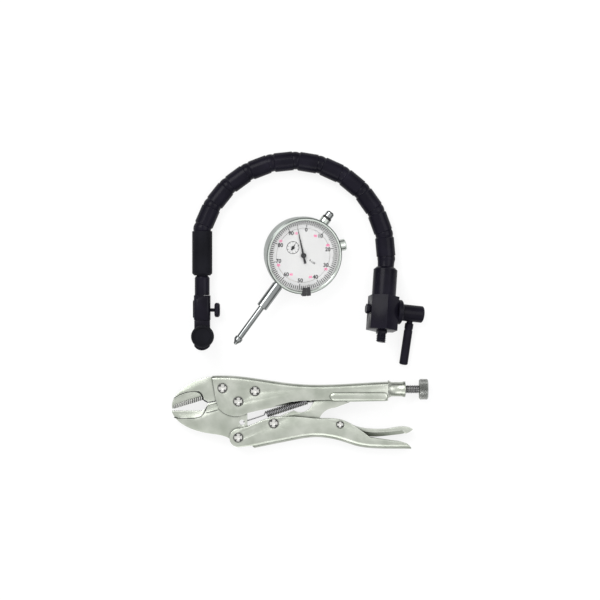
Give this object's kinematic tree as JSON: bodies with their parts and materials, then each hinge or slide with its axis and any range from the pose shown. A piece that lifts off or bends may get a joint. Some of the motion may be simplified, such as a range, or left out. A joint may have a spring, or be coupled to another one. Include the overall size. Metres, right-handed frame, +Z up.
{
  "type": "clamping dial indicator set",
  "caption": "Dial indicator, segmented locking flexible arm with a stem clamp, and curved-jaw locking pliers that hold the arm, laid flat as a set.",
  "frame": {"origin": "on the bench, under the middle of the set's box", "axes": "+X along the pliers towards their adjusting screw, +Y from the pliers to the arm's arch, +Z up off the bench"},
  "size_m": [0.1829, 0.2126, 0.0317],
  "materials": {
    "nickel_steel": "satin nickel plate",
    "rivet_steel": "dull, dimpled",
    "screw_steel": "dark, threaded and knurled",
    "spring_steel": "dark wire",
    "black_steel": "black oxide, semi-gloss",
    "black_knurled": "black oxide, knurled",
    "case_chrome": "satin chrome",
    "polished_steel": "bright ground steel",
    "dial_white": "printed dial face",
    "pointer_black": "matt black",
    "crystal": "clear",
    "brass": "turned",
    "black_rubber": "moulded"
  },
  "bodies": {
    "pliers_handle": {"upper_handle": "nickel_steel", "upper_jaw": "nickel_steel", "upper_jaw_rivets": "rivet_steel", "jaw_pivot_rivet": "rivet_steel", "tension_spring": "spring_steel"},
    "lower_jaw": {"lower_jaw": "nickel_steel"},
    "lower_handle": {"lower_handle": "nickel_steel", "lower_handle_rivets": "rivet_steel"},
    "toggle_link": {"toggle_link": "nickel_steel"},
    "release_lever": {"release_lever": "nickel_steel"},
    "adjusting_screw": {"adjusting_screw": "screw_steel"},
    "arm_block": {"end_block": "black_steel", "mounting_stud": "black_steel", "shaft_collar": "black_steel", "tension_cable": "spring_steel"},
    "locking_lever": {"cam_shaft": "black_steel", "lever_rod": "black_steel", "shaft_nut": "black_steel"},
    "link_01": {"link_01": "black_steel"},
    "link_02": {"link_02": "black_steel"},
    "link_03": {"link_03": "black_steel"},
    "link_04": {"link_04": "black_steel"},
    "link_05": {"link_05": "black_steel"},
    "link_06": {"link_06": "black_steel"},
    "link_07": {"link_07": "black_steel"},
    "link_08": {"link_08": "black_steel"},
    "link_09": {"link_09": "black_steel"},
    "link_10": {"link_10": "black_steel"},
    "link_11": {"link_11": "black_steel"},
    "ferrule": {"end_ferrule": "black_knurled"},
    "swivel_rod": {"swivel_rod": "black_steel"},
    "fine_adjustment": {"fine_adjust_body": "black_steel", "leaf_spring": "black_steel", "clamp_plate": "black_steel", "tilt_pin": "black_steel"},
    "fine_adjust_screw": {"fine_adjust_screw": "black_steel"},
    "clamp_knob": {"clamp_knob": "black_knurled"},
    "indicator_case": {"indicator_case": "case_chrome", "back_cover": "case_chrome", "back_cover_screws": "case_chrome", "stem": "polished_steel", "top_bushing": "case_chrome", "inner_dial": "dial_white", "movement_frame": "brass", "return_spring": "spring_steel"},
    "bezel": {"bezel": "case_chrome", "crystal": "crystal", "dial_ring": "dial_white"},
    "limit_marker_left": {"limit_marker_left": "pointer_black"},
    "limit_marker_right": {"limit_marker_right": "pointer_black"},
    "bezel_lock_screw": {"bezel_lock_screw": "case_chrome"},
    "spindle": {"spindle": "polished_steel", "contact_point": "polished_steel", "buffer_ring": "black_rubber", "lifting_cap": "polished_steel"},
    "main_pointer": {"main_pointer": "pointer_black"},
    "counter_pointer": {"counter_pointer": "pointer_black"},
    "drive_gear": {"drive_gear": "brass"},
    "hairspring_gear": {"hairspring_gear": "brass"}
  },
  "joints": [
    {"name": "jaw_pivot", "type": "hinge", "parent": "pliers_handle", "child": "lower_jaw", "pos_m": [-0.044, -0.0723, 0.0075], "axis": [0, 0, 1], "range_deg": [0, 10], "deforming": ["tension_spring"]},
    {"name": "handle_fold", "type": "hinge", "parent": "lower_jaw", "child": "lower_handle", "pos_m": [-0.044, -0.098, 0.0075], "axis": [0, 0, 1], "range_deg": [-40, 0]},
    {"name": "toggle_fold", "type": "hinge", "parent": "lower_handle", "child": "toggle_link", "pos_m": [-0.0188, -0.0878, 0.0075], "axis": [0, 0, 1], "range_deg": [0, 44]},
    {"name": "release_press", "type": "hinge", "parent": "lower_handle", "child": "release_lever", "pos_m": [0.0286, -0.0887, 0.0075], "axis": [0, 0, 1], "range_deg": [-8, 0]},
    {"name": "screw_feed", "type": "slide", "parent": "pliers_handle", "child": "adjusting_screw", "axis": [1, 0, 0], "range_m": [0, 0.01]},
    {"name": "arm_lift_off", "type": "slide", "parent": "pliers_handle", "child": "arm_block", "axis": [0, 0, 1], "range_m": [0, 0.1]},
    {"name": "lever_turn", "type": "hinge", "parent": "arm_block", "child": "locking_lever", "pos_m": [0.05912, -0.00735, 0.01307], "axis": [0.9653, -0.1054, -0.2389], "range_deg": [-110, 0]},
    {"name": "ball_01", "type": "hinge", "parent": "arm_block", "child": "link_01", "pos_m": [0.0617, 0.0296, 0.0072], "axis": [0, 0, -1], "range_deg": [0, 24.15], "deforming": ["tension_cable"]},
    {"name": "ball_02", "type": "hinge", "parent": "link_01", "child": "link_02", "pos_m": [0.06016, 0.04723, 0.0072], "axis": [0, 0, -1], "range_deg": [0, 30.3]},
    {"name": "ball_03", "type": "hinge", "parent": "link_02", "child": "link_03", "pos_m": [0.05406, 0.06385, 0.0072], "axis": [0, 0, -1], "range_deg": [0, 30.3]},
    {"name": "ball_04", "type": "hinge", "parent": "link_03", "child": "link_04", "pos_m": [0.04383, 0.07829, 0.0072], "axis": [0, 0, -1], "range_deg": [0, 30.3]},
    {"name": "ball_05", "type": "hinge", "parent": "link_04", "child": "link_05", "pos_m": [0.03018, 0.08957, 0.0072], "axis": [0, 0, -1], "range_deg": [0, 30.3]},
    {"name": "ball_06", "type": "hinge", "parent": "link_05", "child": "link_06", "pos_m": [0.01406, 0.09688, 0.0072], "axis": [0, 0, -1], "range_deg": [0, 30.3]},
    {"name": "ball_07", "type": "hinge", "parent": "link_06", "child": "link_07", "pos_m": [-0.0034, 0.09972, 0.0072], "axis": [0, 0, -1], "range_deg": [0, 30.3]},
    {"name": "ball_08", "type": "hinge", "parent": "link_07", "child": "link_08", "pos_m": [-0.02101, 0.0979, 0.0072], "axis": [0, 0, -1], "range_deg": [0, 30.3]},
    {"name": "ball_09", "type": "hinge", "parent": "link_08", "child": "link_09", "pos_m": [-0.03753, 0.09155, 0.0072], "axis": [0, 0, -1], "range_deg": [0, 30.3]},
    {"name": "ball_10", "type": "hinge", "parent": "link_09", "child": "link_10", "pos_m": [-0.05181, 0.08109, 0.0072], "axis": [0, 0, -1], "range_deg": [0, 30.3]},
    {"name": "ball_11", "type": "hinge", "parent": "link_10", "child": "link_11", "pos_m": [-0.06287, 0.06727, 0.0072], "axis": [0, 0, -1], "range_deg": [0, 30.3]},
    {"name": "ball_12", "type": "hinge", "parent": "link_11", "child": "ferrule", "pos_m": [-0.06993, 0.05104, 0.0072], "axis": [0, 0, -1], "range_deg": [0, 38.65]},
    {"name": "swivel", "type": "hinge", "parent": "ferrule", "child": "swivel_rod", "pos_m": [-0.06993, 0.00364, 0.0072], "axis": [0, -1, 0], "continuous": true},
    {"name": "fine_tilt", "type": "hinge", "parent": "swivel_rod", "child": "fine_adjustment", "pos_m": [-0.07353, 0.00184, 0.0072], "axis": [0, 0, 1], "range_deg": [-3.18, 0]},
    {"name": "fine_screw_turn", "type": "hinge", "parent": "fine_adjustment", "child": "fine_adjust_screw", "pos_m": [-0.06993, -0.00716, 0.0072], "axis": [1, 0, 0], "range_deg": [0, 360.5]},
    {"name": "knob_turn", "type": "hinge", "parent": "fine_adjustment", "child": "clamp_knob", "pos_m": [-0.06933, -0.02596, 0.0072], "axis": [0, 0, 1], "range_deg": [-360, 0]},
    {"name": "indicator_lift_off", "type": "slide", "parent": "pliers_handle", "child": "indicator_case", "axis": [0, 0, 1], "range_m": [0, 0.1]},
    {"name": "bezel_turn", "type": "hinge", "parent": "indicator_case", "child": "bezel", "pos_m": [0.0033, 0.031, 0.02414], "axis": [0.2292, -0.1677, 0.9588], "continuous": true},
    {"name": "marker_left_slide", "type": "hinge", "parent": "bezel", "child": "limit_marker_left", "pos_m": [0.0033, 0.031, 0.02414], "axis": [0.2292, -0.1677, 0.9588], "range_deg": [-100, 0]},
    {"name": "marker_right_slide", "type": "hinge", "parent": "bezel", "child": "limit_marker_right", "pos_m": [0.0033, 0.031, 0.02414], "axis": [0.2292, -0.1677, 0.9588], "range_deg": [0, 100]},
    {"name": "lock_screw_turn", "type": "hinge", "parent": "indicator_case", "child": "bezel_lock_screw", "pos_m": [0.00055, 0.03301, 0.01263], "axis": [0.9596, 0.204, -0.1937], "range_deg": [0, 360]},
    {"name": "spindle_slide", "type": "slide", "parent": "indicator_case", "child": "spindle", "axis": [0.5906, 0.807, 0], "range_m": [0, 0.01905], "stiffness_N_per_m": 20, "springref_m": -0.04, "deforming": ["return_spring"]},
    {"name": "pointer_turn", "type": "hinge", "parent": "indicator_case", "child": "main_pointer", "pos_m": [0.0033, 0.031, 0.02414], "axis": [0.2292, -0.1677, 0.9588], "range_deg": [-2700.5, 0]},
    {"name": "counter_turn", "type": "hinge", "parent": "indicator_case", "child": "counter_pointer", "pos_m": [-0.00405, 0.03638, 0.02683], "axis": [0.2292, -0.1677, 0.9588], "range_deg": [0, 270.5]},
    {"name": "drive_gear_turn", "type": "hinge", "parent": "indicator_case", "child": "drive_gear", "pos_m": [0.00514, 0.0387, 0.02504], "axis": [0.2292, -0.1677, 0.9588], "range_deg": [0, 675.5]},
    {"name": "hairspring_gear_turn", "type": "hinge", "parent": "indicator_case", "child": "hairspring_gear", "pos_m": [0.00146, 0.0233, 0.02323], "axis": [0.2292, -0.1677, 0.9588], "range_deg": [0, 675.5]}
  ],
  "couplings": [
    {"joint": "jaw_pivot", "follows": "handle_fold", "ratio": -0.25},
    {"joint": "toggle_fold", "follows": "handle_fold", "ratio": -1.1},
    {"joint": "fine_screw_turn", "follows": "fine_tilt", "ratio": -113.1},
    {"joint": "pointer_turn", "follows": "spindle_slide", "rad_per_m": -2473.7},
    {"joint": "counter_turn", "follows": "spindle_slide", "rad_per_m": 247.37},
    {"joint": "drive_gear_turn", "follows": "spindle_slide", "rad_per_m": 618.42},
    {"joint": "hairspring_gear_turn", "follows": "spindle_slide", "rad_per_m": 618.42}
  ]
}
